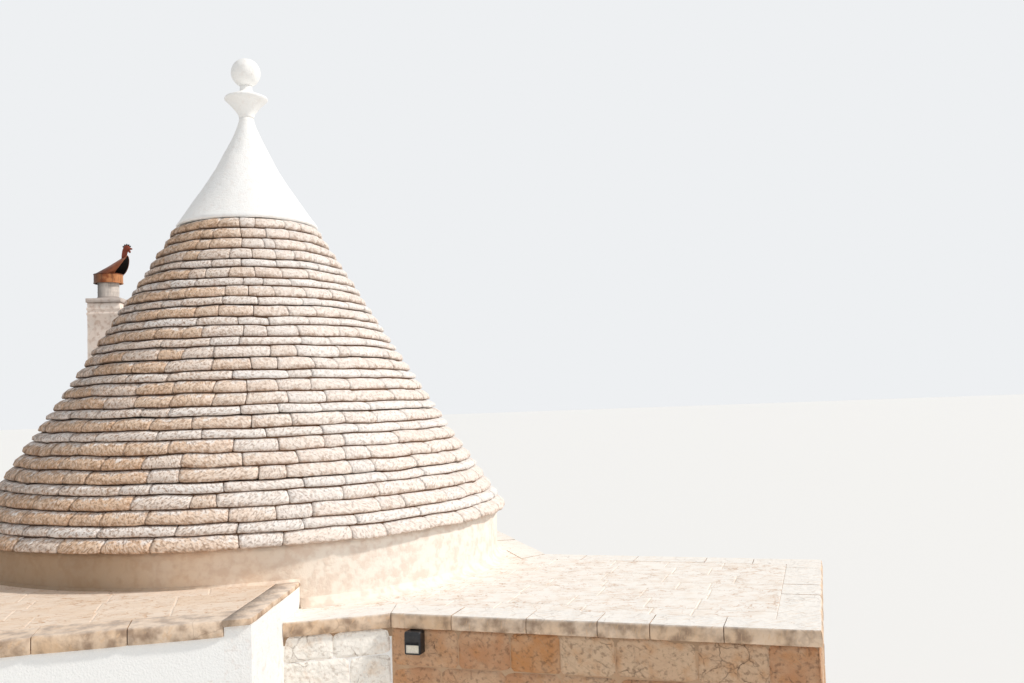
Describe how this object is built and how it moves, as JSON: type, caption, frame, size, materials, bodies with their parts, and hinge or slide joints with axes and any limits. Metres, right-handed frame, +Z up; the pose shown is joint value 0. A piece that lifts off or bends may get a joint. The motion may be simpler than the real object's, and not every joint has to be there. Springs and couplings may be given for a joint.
{
  "type": "trullo house",
  "caption": "Trullo house: a dry-stone cone on a plastered drum over a walled block with a paved roof terrace, a slanted store wing and a chimney with a turning cowl.",
  "frame": {"origin": "the cone's axis at ground level, on the underside of the floor", "axes": "+Z up, the entrance faces -X, the wing runs towards +X and -Y, the chimney stands behind on the left"},
  "size_m": [7.8221, 7.4454, 7.747],
  "materials": {
    "floor_stone": "worn limestone slabs",
    "limewash": "limewashed plaster",
    "block_stone": "squared limestone blocks",
    "vault_stone": "dressed limestone",
    "lime_plaster": "lime plaster",
    "rubble": "rubble and earth",
    "slab_stone": "split limestone slabs",
    "paving_stone": "limestone paving",
    "zinc_steel": "galvanised steel",
    "weathered_copper": "weathered copper sheet",
    "lamp_black": "black enamel",
    "lamp_glass": "frosted glass",
    "door_wood": "oiled chestnut boards",
    "window_glass": "clear glass"
  },
  "bodies": {
    "house": {"floors": "floor_stone", "front_wall": "limewash", "left_wall_front": "limewash", "left_wall_back": "limewash", "lintels": "block_stone", "back_wall": "block_stone", "right_wall": "block_stone", "party_wall": "block_stone", "wing_front_wall": "block_stone", "wing_end_wall": "block_stone", "wing_back_wall": "block_stone", "wing_vault": "vault_stone", "drum_front": "lime_plaster", "drum_right": "lime_plaster", "drum_back": "lime_plaster", "drum_left": "lime_plaster", "vault_lower": "vault_stone", "vault_upper": "vault_stone", "vault_keystone": "vault_stone", "roof_core": "rubble", "roof_band_1": "slab_stone", "roof_band_2": "slab_stone", "roof_band_3": "slab_stone", "roof_band_4": "slab_stone", "roof_band_5": "slab_stone", "roof_band_6": "slab_stone", "white_cap": "limewash", "pinnacle_disc": "limewash", "pinnacle_ball": "limewash", "terrace_low": "paving_stone", "terrace_high": "paving_stone", "terrace_kerb": "limewash", "coping_low": "paving_stone", "coping_high": "paving_stone", "chimney_stack": "lime_plaster", "chimney_cap": "paving_stone", "flue_pipe": "zinc_steel", "lamp_body": "lamp_black", "lamp_lens": "lamp_glass", "door_leaves": "door_wood", "window_frames": "door_wood", "window_panes": "window_glass"},
    "cowl": {"cowl_ring": "weathered_copper", "cowl_hood": "weathered_copper", "rooster_head": "weathered_copper"}
  },
  "joints": [
    {"name": "cowl_turn", "type": "hinge", "parent": "house", "child": "cowl", "pos_m": [-1.664, 2.55, 5.8], "axis": [0, 0, 1], "continuous": true}
  ]
}
